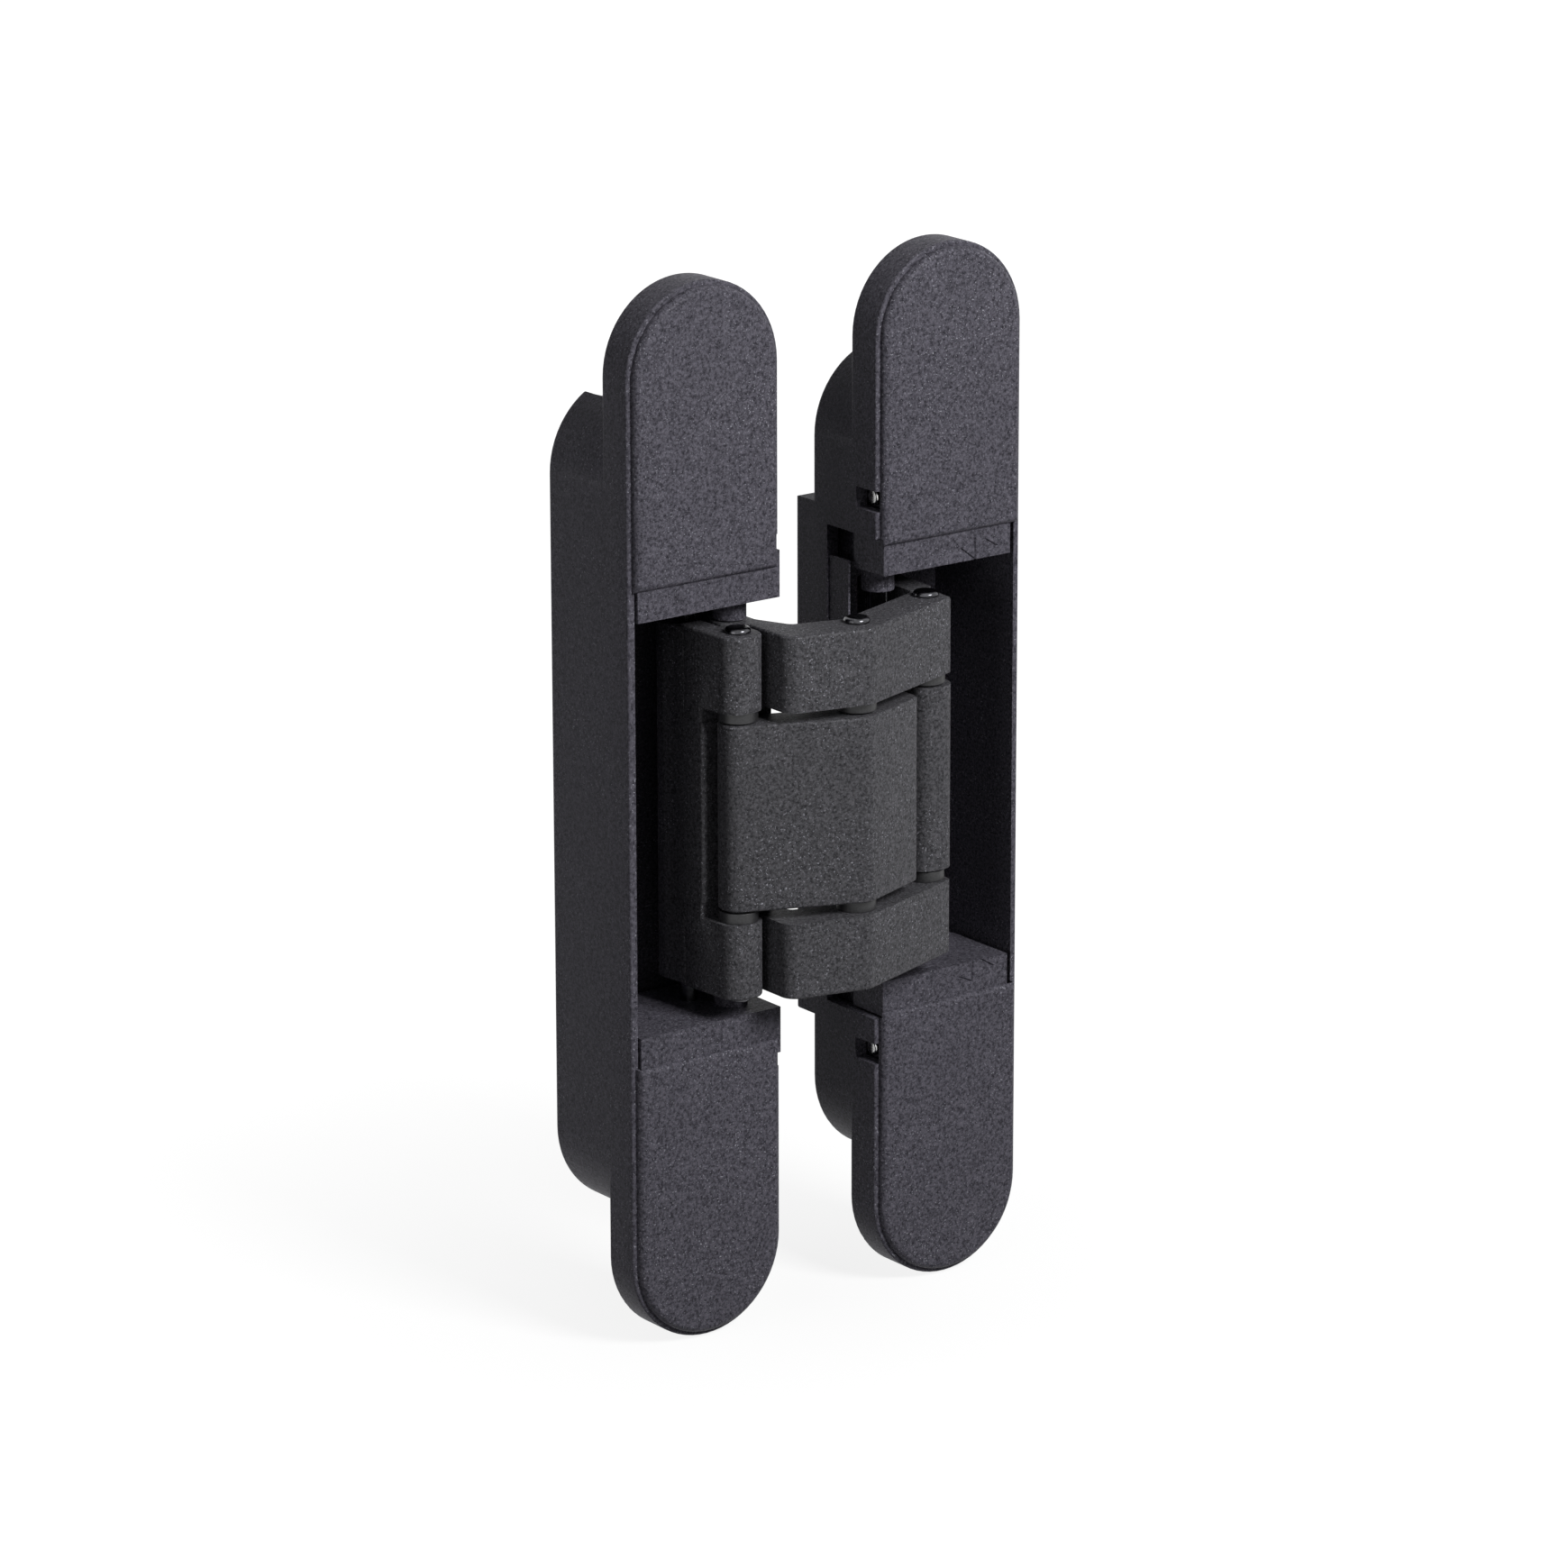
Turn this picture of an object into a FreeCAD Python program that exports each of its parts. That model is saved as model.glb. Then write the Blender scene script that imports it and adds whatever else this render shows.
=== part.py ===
import FreeCAD, Part
import math
import os

V = FreeCAD.Vector

# Heights, from the middle of the stack of arms outwards, in millimetres
CORE_HALF = 16.8
WASHER_SPACE = 2.25
BAND_LENGTH = 13.65
HEAD_SPACE = 4.5
HEAD_LENGTH = 8.4
DOOR_HEAD_LENGTH = 6.4
CARRIER_LENGTH = 23.3
CARRIER_END_GAP = 3.5
LOBE_LENGTH = 29.0

# Widths and depths of one housing
HOUSING_WIDTH = 32.0
HOUSING_GAP = 21.2
LOBE_BACK = 8.9
BODY_BACK = 25.2
DOOR_END_BACK = 20.2
DOOR_DEEP_REACH = 10.3
END_WALL = 4.9
SCOOP_DEPTH = 4.3
SCOOP_RADIUS = 20.0
LOBE_EDGE_RADIUS = 0.9
BODY_EDGE_RADIUS = 1.4
RIM_EDGE_RADIUS = 0.4

# Housing walls, pocket and openings
FRONT_RIM = 1.5
FAR_WALL = 1.4
DOOR_FAR_WALL = 1.25
GAP_WALL = 2.5
BACK_WALL = 1.35
POCKET_CORNER = 1.2
CUTOUT_BACK = 13.2
DOOR_CUTOUT_BACK = 15.6
CUTOUT_GAP = 0.7
DOOR_CUTOUT_GAP = 0.4
STRIP_INSET = 1.2
STRIP_BACK = 15.6
RIB_SET_BACK = 0.4
RIB_THICKNESS = 0.45
RIB_ARM_GAP = 1.0
FIXING_INSET = 11.0
FIXING_RADIUS = 2.7
FIXING_SINK_RADIUS = 5.2
ORIGIN_DEPTH = 6.5

# Covers clipped on the housing ends
COVER_START = 5.5
COVER_INSET = 0.9
COVER_LIP = 0.7
COVER_EDGE_RADIUS = 1.2
COVER_LUG_HALF_WIDTH = 6.0
COVER_LUG_INSET = 2.0
COVER_LUG_LENGTH = 5.0
COVER_LUG_DEPTH = 3.0
COVER_LUG_FIT = 0.1
LUG_POCKET_EXTRA = 0.6

# Carriers that hold the pivot pins in the pockets
HEAD_BACK = 9.6
HEAD_SIDE_GAP = 0.1
CARRIER_STEP_FRONT = 3.4
CARRIER_STEP_EDGE = 0.6
CARRIER_BACK_GAP = 1.45
CARRIER_CORNER = 2.0
CARRIER_GAP = 0.35
SIDE_TRAVEL = 0.8
HEIGHT_TRAVEL = 2.0
FREE_GAP = 0.3
DOOR_HEAD_GAP_EDGE = 1.4

# Linkage, inwards from each housing's side at the gap and back from the front
ARM_PIVOT_INSET = 5.6
ARM_PIVOT_DEPTH = 8.2
LINK_END_INSET = 9.9
LINK_END_DEPTH = 6.9
CLOSED_FRONT_GAP = 5.0
CLOSED_CROSS_DEPTH = 25.0
ROOT_PIVOT_INSET = 10.348
ROOT_PIVOT_DEPTH = 14.238
LINK_ROOT_SHIFT_X = 1.458
LINK_ROOT_SHIFT_Y = 14.671

# Arm and link sections
KNUCKLE_RADIUS = 3.75
ARM_ROOT_RADIUS = 3.6
ARM_EDGE = 0.5
ARM_FRONT = 5.09
ARM_BACK = 3.21
ARM_APEX_SHIFT = 0.6
LINK_WAIST = 10.81
LINK_BACK_WIDTH = 5.0
LINK_SHORT = 0.6
CRESCENT_INSET = 1.5

# Pins, washers and their running fits
PIN_RADIUS = 2.0
ROOT_PIN_RADIUS = 1.6
PIN_SEAT_DEPTH = 12.0
PIN_END_CHAMFER = 0.4
PIN_HEAD_RADIUS = 2.3
PIN_HEAD_HEIGHT = 1.0
PIN_HEAD_EDGE = 0.7
RUNNING_FIT = 0.05
ROOT_SWING = 1.43
ROOT_WALL = 1.2
BOSS_RADIUS = 2.95
WASHER_RADIUS = 3.5
WASHER_GAP = 0.3

# Adjusting screws
CLAMP_INSET = 15.8
CLAMP_RADIUS = 2.5
CLAMP_HEAD_RADIUS = 4.25
CLAMP_HEAD_FRONT = 4.0
CLAMP_HEAD_HEIGHT = 4.0
CLAMP_HEAD_CHAMFER = 0.4
CLAMP_END_GAP = 0.2
SOCKET_WIDTH = 4.0
SOCKET_DEPTH = 2.2
HEIGHT_SCREW_RADIUS = 2.5
HEIGHT_SCREW_Y = 14.0
HEIGHT_SCREW_X = -5.0
HEIGHT_SCREW_GAP = 0.4
HEIGHT_SCREW_SEAT = 4.8
SIDE_SCREW_RADIUS = 1.5
SIDE_SCREW_RISE = 3.0
SIDE_SCREW_INSET = 13.4
SIDE_SCREW_END_GAP = 0.5
SIDE_SCREW_REACH = 1.6
SIDE_SCREW_EDGE = 0.5
NOTCH_MARGIN = 0.4
NOTCH_SEAT = 0.5

# Heights worked out from the sizes above
BAND_INNER = CORE_HALF + WASHER_SPACE
STACK_HALF = BAND_INNER + BAND_LENGTH
HEAD_INNER = STACK_HALF + HEAD_SPACE
HEAD_OUTER = HEAD_INNER + HEAD_LENGTH
DOOR_HEAD_OUTER = HEAD_INNER + DOOR_HEAD_LENGTH
CARRIER_OUTER = HEAD_INNER + CARRIER_LENGTH
POCKET_HALF = CARRIER_OUTER + HEIGHT_TRAVEL + CARRIER_END_GAP
HALF_LENGTH = POCKET_HALF + LOBE_LENGTH
SCOOP_BOTTOM = POCKET_HALF + END_WALL
STRIP_HALF = HEAD_INNER + STRIP_INSET
CUTOUT_HALF = HEAD_OUTER + HEIGHT_TRAVEL + CUTOUT_GAP
DOOR_CUTOUT_HALF = DOOR_HEAD_OUTER + DOOR_CUTOUT_GAP
DOOR_DEEP_HALF = HEAD_INNER + DOOR_DEEP_REACH
FIXING_HALF = HALF_LENGTH - FIXING_INSET
COVER_INNER = HEAD_INNER + COVER_START
COVER_LUG_INNER = POCKET_HALF + COVER_LUG_INSET
COVER_LUG_OUTER = COVER_LUG_INNER + COVER_LUG_LENGTH
CLAMP_Z = HEAD_INNER + CLAMP_INSET
SIDE_SCREW_Z = HEAD_INNER + SIDE_SCREW_INSET
BOSS_END = STACK_HALF + FREE_GAP
PIN_REACH = HEAD_INNER + PIN_SEAT_DEPTH

# Widths, depths and pivots worked out from the sizes above
HALF_WIDTH = HOUSING_WIDTH / 2.0
LOBE_CENTRE = HALF_LENGTH - HALF_WIDTH
BODY_END_CENTRE = SCOOP_BOTTOM + SCOOP_DEPTH - HALF_WIDTH
DOOR_X = HOUSING_WIDTH + HOUSING_GAP
MIDDLE_X = DOOR_X / 2.0
POCKET_BACK = BODY_BACK - BACK_WALL
DOOR_POCKET_BACK = DOOR_END_BACK - BACK_WALL
SHELL_FRONT = FRONT_RIM + 2.0 * RIM_EDGE_RADIUS
HEAD_FRONT = COVER_LIP + FREE_GAP
CARRIER_BACK = POCKET_BACK - CARRIER_BACK_GAP
RIB_FRONT = HEAD_BACK + FREE_GAP
SIDE_SCREW_Y = ARM_PIVOT_DEPTH - SIDE_SCREW_RISE
NOTCH_BACK = SIDE_SCREW_Y + SIDE_SCREW_RADIUS + NOTCH_SEAT
SIDE_SCREW_END = DOOR_X - CLAMP_HEAD_RADIUS - FREE_GAP - SIDE_TRAVEL - SIDE_SCREW_END_GAP
ARM_X = HALF_WIDTH - ARM_PIVOT_INSET
LINK_X = HALF_WIDTH - LINK_END_INSET
ROOT_X = HALF_WIDTH - ROOT_PIVOT_INSET
ARM_PIVOT_OFFSET = MIDDLE_X - ARM_X
CROSS_REACH = math.hypot(
    CLOSED_CROSS_DEPTH - ARM_PIVOT_OFFSET + MIDDLE_X - HALF_WIDTH,
    CLOSED_FRONT_GAP / 2.0 + ARM_PIVOT_DEPTH,
)
CROSS_Y = ARM_PIVOT_DEPTH - math.sqrt(CROSS_REACH ** 2 - ARM_PIVOT_OFFSET ** 2)
LINK_END_Y = CROSS_Y + LINK_END_DEPTH
LINK_ROOT_X = LINK_X - LINK_ROOT_SHIFT_X
LINK_ROOT_Y = LINK_END_Y + LINK_ROOT_SHIFT_Y
LINK_WAIST_Y = LINK_END_Y + LINK_WAIST
ROOT_HOLE_RADIUS = ROOT_PIN_RADIUS + ROOT_SWING
ROOT_KNUCKLE_RADIUS = ROOT_HOLE_RADIUS + ROOT_WALL
ROOT_HALF = CORE_HALF - LINK_SHORT


def box(x0, x1, y0, y1, z0, z1):
    return Part.makeBox(x1 - x0, y1 - y0, z1 - z0, V(x0, y0, z0))


def cylinder_z(x, y, radius, z0, z1):
    return Part.makeCylinder(radius, z1 - z0, V(x, y, z0), V(0, 0, 1))


def cylinder_y(x, z, radius, y0, y1):
    return Part.makeCylinder(radius, y1 - y0, V(x, y0, z), V(0, 1, 0))


def cylinder_x(y, z, radius, x0, x1):
    return Part.makeCylinder(radius, x1 - x0, V(x0, y, z), V(1, 0, 0))


def rounded_wire(corners, place):
    # Closed outline through corners given as (a, b, radius)
    count = len(corners)
    starts = []
    ends = []
    mids = []
    for index in range(count):
        before = corners[index - 1]
        here = corners[index]
        after = corners[(index + 1) % count]
        corner = V(here[0], here[1], 0)
        back = V(before[0], before[1], 0).sub(corner)
        ahead = V(after[0], after[1], 0).sub(corner)
        back.normalize()
        ahead.normalize()
        radius = here[2]
        half = back.getAngle(ahead) / 2.0
        if radius <= 0:
            starts.append(corner)
            ends.append(corner)
            mids.append(None)
            continue
        reach = radius / math.tan(half)
        starts.append(corner + back * reach)
        ends.append(corner + ahead * reach)
        bisector = back.add(ahead)
        bisector.normalize()
        mids.append(corner + bisector * (radius / math.sin(half) - radius))
    edges = []
    for index in range(count):
        if mids[index] is not None:
            arc = Part.Arc(place(starts[index]), place(mids[index]), place(ends[index]))
            edges.append(arc.toShape())
        following = (index + 1) % count
        here = place(ends[index])
        there = place(starts[following])
        if here.distanceToPoint(there) > 1e-6:
            edges.append(Part.makeLine(here, there))
    return Part.Wire(edges)


def prism_z(corners, z0, z1):
    wire = rounded_wire(corners, lambda p: V(p.x, p.y, z0))
    return Part.Face(wire).extrude(V(0, 0, z1 - z0))


def prism_y(corners, y0, y1):
    # Corners are given as (x, z, radius)
    wire = rounded_wire(corners, lambda p: V(p.x, y0, p.y))
    return Part.Face(wire).extrude(V(0, y1 - y0, 0))


def stadium_y(x, end_centre, radius, y0, y1):
    top = V(x, y0, end_centre + radius)
    bottom = V(x, y0, -end_centre - radius)
    right_top = V(x + radius, y0, end_centre)
    left_top = V(x - radius, y0, end_centre)
    right_bottom = V(x + radius, y0, -end_centre)
    left_bottom = V(x - radius, y0, -end_centre)
    edges = [
        Part.Arc(left_top, top, right_top).toShape(),
        Part.makeLine(right_top, right_bottom),
        Part.Arc(right_bottom, bottom, left_bottom).toShape(),
        Part.makeLine(left_bottom, left_top),
    ]
    return Part.Face(Part.Wire(edges)).extrude(V(0, y1 - y0, 0))


def edges_at(shape, axis, value, reach=1e9):
    # Edges that lie wholly in one plane across an axis
    found = []
    for edge in shape.Edges:
        bounds = edge.BoundBox
        low = (bounds.XMin, bounds.YMin, bounds.ZMin)[axis]
        high = (bounds.XMax, bounds.YMax, bounds.ZMax)[axis]
        if abs(low - value) < 1e-3 and abs(high - value) < 1e-3 and edge.Length < reach:
            found.append(edge)
    return found


def mirror_x(shape):
    return shape.mirror(V(MIDDLE_X, 0, 0), V(1, 0, 0))


def mirror_z(shape):
    return shape.mirror(V(0, 0, 0), V(0, 0, 1))


def save(shape, name):
    shape = shape.removeSplitter()
    if shape.ShapeType == "Compound" and len(shape.Solids) == 1:
        shape = shape.Solids[0]
    # The origin lies in the fixing holes' straight wall, behind the covers' front
    shape.translate(V(0, -ORIGIN_DEPTH, 0))
    shape.exportStep("parts/" + name + ".step")


def hex_prism_y(x, z, width, y0, y1):
    corners = []
    for index in range(6):
        angle = math.radians(60.0 * index + 30.0)
        reach = width / math.sqrt(3.0)
        corners.append((x + reach * math.cos(angle), z + reach * math.sin(angle), 0))
    return prism_y(corners, y0, y1)


# Housings

def housing_shell(x, back_shape):
    lobe = stadium_y(x, LOBE_CENTRE, HALF_WIDTH, FRONT_RIM, LOBE_BACK)
    lobe = lobe.makeFillet(LOBE_EDGE_RADIUS, edges_at(lobe, 1, LOBE_BACK))
    lobe = lobe.makeFillet(RIM_EDGE_RADIUS, edges_at(lobe, 1, FRONT_RIM))
    return lobe.fuse(back_shape)


def fixing_holes(x):
    cutters = []
    for side in (-1, 1):
        z = side * FIXING_HALF
        cutters.append(cylinder_y(x, z, FIXING_RADIUS, 0, BODY_BACK))
        depth = FIXING_SINK_RADIUS - FIXING_RADIUS
        sink = Part.makeCone(
            FIXING_SINK_RADIUS, FIXING_RADIUS, depth, V(x, FRONT_RIM, z), V(0, 1, 0)
        )
        cutters.append(sink)
    return cutters


def lug_pockets(x):
    cutters = []
    for side in (-1, 1):
        inner = side * (COVER_LUG_INNER - COVER_LUG_FIT)
        outer = side * (COVER_LUG_OUTER + COVER_LUG_FIT)
        z0, z1 = sorted((inner, outer))
        half = COVER_LUG_HALF_WIDTH + COVER_LUG_FIT
        back = FRONT_RIM + COVER_LUG_DEPTH + LUG_POCKET_EXTRA
        cutters.append(box(x - half, x + half, 0, back, z0, z1))
    return cutters


def pocket(x, gap_side, far_wall, half, back):
    # Hollow between the walls; the wall next to the gap is the thicker one
    far = x - gap_side * (HALF_WIDTH - far_wall)
    near = x + gap_side * (HALF_WIDTH - GAP_WALL)
    left = min(far, near)
    right = max(far, near)
    corners = [
        (left, -half, POCKET_CORNER),
        (right, -half, POCKET_CORNER),
        (right, half, POCKET_CORNER),
        (left, half, POCKET_CORNER),
    ]
    return prism_y(corners, 0, back)


def gap_cutout(x, gap_side, z0, z1, back):
    # Opening through the wall next to the gap
    outer = x + gap_side * (HALF_WIDTH + 1)
    inner = x + gap_side * (HALF_WIDTH - GAP_WALL - 1)
    return box(min(outer, inner), max(outer, inner), 0, back, z0, z1)


def clamp_holes(x):
    cutters = []
    for side in (-1, 1):
        cutters.append(
            cylinder_y(x, side * CLAMP_Z, CLAMP_RADIUS, POCKET_BACK - 1, BODY_BACK + 1)
        )
    return cutters


def build_frame_housing():
    deep = stadium_y(0, BODY_END_CENTRE, HALF_WIDTH, SHELL_FRONT, BODY_BACK)
    for side in (-1, 1):
        z = side * (SCOOP_BOTTOM + SCOOP_RADIUS)
        deep = deep.cut(cylinder_y(0, z, SCOOP_RADIUS, LOBE_BACK, BODY_BACK + 1))
    deep = deep.makeFillet(BODY_EDGE_RADIUS, edges_at(deep, 1, BODY_BACK))
    shell = housing_shell(0, deep)
    cutters = [pocket(0, 1, FAR_WALL, POCKET_HALF, POCKET_BACK)]
    cutters.append(gap_cutout(0, 1, -CUTOUT_HALF, CUTOUT_HALF, CUTOUT_BACK))
    cutters.append(gap_cutout(0, 1, STRIP_HALF, CUTOUT_HALF, STRIP_BACK))
    cutters.append(gap_cutout(0, 1, -CUTOUT_HALF, -STRIP_HALF, STRIP_BACK))
    cutters += fixing_holes(0)
    cutters += lug_pockets(0)
    cutters += clamp_holes(0)
    for side in (-1, 1):
        outer = SCOOP_BOTTOM + SCOOP_DEPTH + 1
        z0, z1 = sorted((side * (POCKET_HALF - 2), side * outer))
        cutters.append(cylinder_z(HEIGHT_SCREW_X, HEIGHT_SCREW_Y, HEIGHT_SCREW_RADIUS, z0, z1))
    return shell.cut(cutters)


def door_ribs(wall):
    # Thin ribs that stand on the wall next to the gap, above and below the inner arm
    front = wall + RIB_SET_BACK
    rib = box(
        front, front + RIB_THICKNESS, RIB_FRONT, DOOR_CUTOUT_BACK + 1,
        CORE_HALF + RIB_ARM_GAP, STRIP_HALF,
    )
    return [rib, mirror_z(rib)]


def build_door_housing():
    ends = stadium_y(DOOR_X, BODY_END_CENTRE, HALF_WIDTH, SHELL_FRONT, DOOR_END_BACK)
    ends = ends.makeFillet(BODY_EDGE_RADIUS, edges_at(ends, 1, DOOR_END_BACK))
    deep = box(
        DOOR_X - HALF_WIDTH, DOOR_X + HALF_WIDTH,
        SHELL_FRONT, BODY_BACK, -DOOR_DEEP_HALF, DOOR_DEEP_HALF,
    )
    deep = deep.makeFillet(BODY_EDGE_RADIUS, edges_at(deep, 1, BODY_BACK))
    shell = housing_shell(DOOR_X, ends.fuse(deep))
    cutters = [pocket(DOOR_X, -1, DOOR_FAR_WALL, POCKET_HALF, DOOR_POCKET_BACK)]
    deep_half = DOOR_DEEP_HALF - BACK_WALL
    cutters.append(pocket(DOOR_X, -1, DOOR_FAR_WALL, deep_half, POCKET_BACK))
    cutters.append(
        gap_cutout(DOOR_X, -1, -DOOR_CUTOUT_HALF, DOOR_CUTOUT_HALF, DOOR_CUTOUT_BACK)
    )
    cutters += fixing_holes(DOOR_X)
    cutters += lug_pockets(DOOR_X)
    wall = DOOR_X - HALF_WIDTH
    half = SIDE_SCREW_RADIUS + NOTCH_MARGIN
    for side in (-1, 1):
        z = side * CLAMP_Z
        cutters.append(cylinder_y(DOOR_X, z, CLAMP_RADIUS, DOOR_POCKET_BACK - 1, BODY_BACK + 1))
        z = side * SIDE_SCREW_Z
        cutters.append(box(wall - 1, wall + GAP_WALL + 1, 0, NOTCH_BACK, z - half, z + half))
    return shell.cut(cutters).fuse(door_ribs(wall))


# Covers

def build_cover_top(x, gap_side, far_wall, head_outer):
    cover = stadium_y(x, LOBE_CENTRE, HALF_WIDTH - COVER_INSET, 0, FRONT_RIM)
    reach = HALF_WIDTH + 1
    cover = cover.cut(
        box(x - reach, x + reach, -1, FRONT_RIM + 1, -HALF_LENGTH - 1, COVER_INNER)
    )
    cover = cover.makeFillet(COVER_EDGE_RADIUS, edges_at(cover, 1, 0))
    far = x - gap_side * (HALF_WIDTH - far_wall)
    near = x + gap_side * reach
    relief = box(
        min(far, near), max(far, near), COVER_LIP, FRONT_RIM + 1,
        COVER_INNER - 1, head_outer + FREE_GAP,
    )
    cover = cover.cut(relief)
    lug = box(
        x - COVER_LUG_HALF_WIDTH, x + COVER_LUG_HALF_WIDTH,
        FRONT_RIM, FRONT_RIM + COVER_LUG_DEPTH, COVER_LUG_INNER, COVER_LUG_OUTER,
    )
    return cover.fuse(lug)


# Carriers

def pin_bores():
    return [
        cylinder_z(ARM_X, ARM_PIVOT_DEPTH, PIN_RADIUS, 0, PIN_REACH),
        cylinder_z(ROOT_X, ROOT_PIVOT_DEPTH, ROOT_PIN_RADIUS, 0, PIN_REACH),
    ]


def clamp_slot(x, along_z, along_x):
    # Elongated step hole for the clamp screw
    cutters = []
    for radius, y0, y1 in (
        (CLAMP_RADIUS + FREE_GAP, 0, CARRIER_BACK + 1),
        (CLAMP_HEAD_RADIUS + FREE_GAP, 0, CLAMP_HEAD_FRONT + CLAMP_HEAD_HEIGHT + FREE_GAP),
    ):
        half_x = radius + along_x
        half_z = radius + along_z
        corners = [
            (x - half_x, CLAMP_Z - half_z, radius - 0.01),
            (x + half_x, CLAMP_Z - half_z, radius - 0.01),
            (x + half_x, CLAMP_Z + half_z, radius - 0.01),
            (x - half_x, CLAMP_Z + half_z, radius - 0.01),
        ]
        cutters.append(prism_y(corners, y0, y1))
    return cutters


def build_frame_carrier_top():
    far = -HALF_WIDTH + FAR_WALL + CARRIER_GAP
    near = HALF_WIDTH - GAP_WALL - CARRIER_GAP
    corners = [
        (far, CARRIER_STEP_FRONT, CARRIER_STEP_EDGE),
        (near, CARRIER_STEP_FRONT, CARRIER_STEP_EDGE),
        (near, CARRIER_BACK, CARRIER_CORNER),
        (far, CARRIER_BACK, CARRIER_CORNER),
    ]
    body = prism_z(corners, HEAD_INNER, CARRIER_OUTER)
    side = HALF_WIDTH - HEAD_SIDE_GAP
    head = box(far, side, HEAD_FRONT, HEAD_BACK, HEAD_INNER, HEAD_OUTER)
    boss = cylinder_z(ARM_X, ARM_PIVOT_DEPTH, BOSS_RADIUS, BOSS_END, HEAD_INNER + 1)
    carrier = body.fuse([head, boss])
    carrier = carrier.cut(pin_bores() + clamp_slot(0, HEIGHT_TRAVEL, 0))
    return carrier.removeSplitter()


def build_door_carrier_top():
    wall_gap = SIDE_TRAVEL + CARRIER_GAP
    far = DOOR_X + HALF_WIDTH - DOOR_FAR_WALL - wall_gap
    near = DOOR_X - HALF_WIDTH + GAP_WALL + wall_gap
    back = DOOR_POCKET_BACK - CARRIER_GAP
    corners = [
        (near, CARRIER_STEP_FRONT, CARRIER_STEP_EDGE),
        (far, CARRIER_STEP_FRONT, CARRIER_STEP_EDGE),
        (far, back, CARRIER_CORNER),
        (near, back, CARRIER_CORNER),
    ]
    body = prism_z(corners, HEAD_INNER, CARRIER_OUTER)
    head = box(
        DOOR_X - HALF_WIDTH + DOOR_HEAD_GAP_EDGE, far,
        HEAD_FRONT, HEAD_BACK, HEAD_INNER, DOOR_HEAD_OUTER,
    )
    boss = cylinder_z(
        DOOR_X - ARM_X, ARM_PIVOT_DEPTH, BOSS_RADIUS, BOSS_END, HEAD_INNER + 1
    )
    carrier = body.fuse([head, boss])
    cutters = [mirror_x(bore) for bore in pin_bores()]
    cutters += clamp_slot(DOOR_X, 0, SIDE_TRAVEL)
    cutters.append(
        cylinder_x(SIDE_SCREW_Y, SIDE_SCREW_Z, SIDE_SCREW_RADIUS, near - 1, SIDE_SCREW_END)
    )
    carrier = carrier.cut(cutters)
    return carrier.removeSplitter()


# Arms

def outer_band_corners():
    root_y = ARM_PIVOT_DEPTH
    end_x = DOOR_X - LINK_X
    apex_x = MIDDLE_X - ARM_APEX_SHIFT
    reach = ARM_ROOT_RADIUS
    return [
        (ARM_X + 0.2, CROSS_Y - 1.63, 3.0),
        (apex_x, CROSS_Y - ARM_FRONT, 2.5),
        (end_x + 3.1, LINK_END_Y - 3.44, 1.0),
        (end_x + 3.8, LINK_END_Y + 5.31, 3.7),
        (apex_x, CROSS_Y + ARM_BACK, 2.0),
        (ARM_X + 6.4, root_y - 9.2, 1.5),
        (ARM_X + reach, root_y - 2.8, 1.5),
        (ARM_X + reach, root_y + reach, reach - 0.02),
        (ARM_X - reach, root_y + reach, reach - 0.02),
        (ARM_X - reach, root_y - 2.0, 2.0),
        (ARM_X + 0.2, root_y - 5.2, 2.0),
    ]


def outer_web_corners():
    # Thin wall that joins the two bands behind the front faces
    root_y = ARM_PIVOT_DEPTH
    return [
        (ARM_X + 2.9, root_y - 5.6, 0.8),
        (ARM_X + 5.3, root_y - 6.0, 0.8),
        (ARM_X + 3.5, root_y + 1.4, 0.8),
        (ARM_X + 2.2, root_y + 1.4, 0.4),
        (ARM_X + 2.5, root_y - 2.2, 0.8),
    ]


def build_outer_arm():
    upper = prism_z(outer_band_corners(), BAND_INNER, STACK_HALF)
    upper = upper.makeFillet(ARM_EDGE, edges_at(upper, 2, STACK_HALF))
    web = prism_z(outer_web_corners(), -BAND_INNER - 1, BAND_INNER + 1)
    arm = upper.fuse([mirror_z(upper), web])
    top = STACK_HALF + 1
    hole = PIN_RADIUS + RUNNING_FIT
    cutters = [
        cylinder_z(MIDDLE_X, CROSS_Y, PIN_RADIUS, -top, top),
        cylinder_z(DOOR_X - LINK_X, LINK_END_Y, PIN_RADIUS, -top, top),
        cylinder_z(ARM_X, ARM_PIVOT_DEPTH, hole, -top, top),
    ]
    return arm.cut(cutters)


def inner_arm_corners():
    root_x = DOOR_X - ARM_X
    root_y = ARM_PIVOT_DEPTH
    end_x = LINK_X - KNUCKLE_RADIUS + 0.2
    apex_x = MIDDLE_X - ARM_APEX_SHIFT
    reach = ARM_ROOT_RADIUS
    return [
        (end_x, LINK_END_Y - 2.6, 3.0),
        (apex_x, CROSS_Y - ARM_FRONT, 2.5),
        (root_x - 1.8, root_y - 14.5, 2.5),
        (root_x - 1.8, root_y - 5.8, 2.0),
        (root_x + reach, root_y - 2.6, 1.5),
        (root_x + reach, root_y + reach, reach - 0.02),
        (root_x - reach, root_y + reach, reach - 0.02),
        (root_x - reach - 0.6, root_y - 3.8, 2.0),
        (root_x - 8.0, root_y - 8.8, 2.0),
        (apex_x, CROSS_Y + ARM_BACK + 0.3, 2.0),
        (end_x, LINK_END_Y + 4.9, 3.4),
    ]


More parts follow.
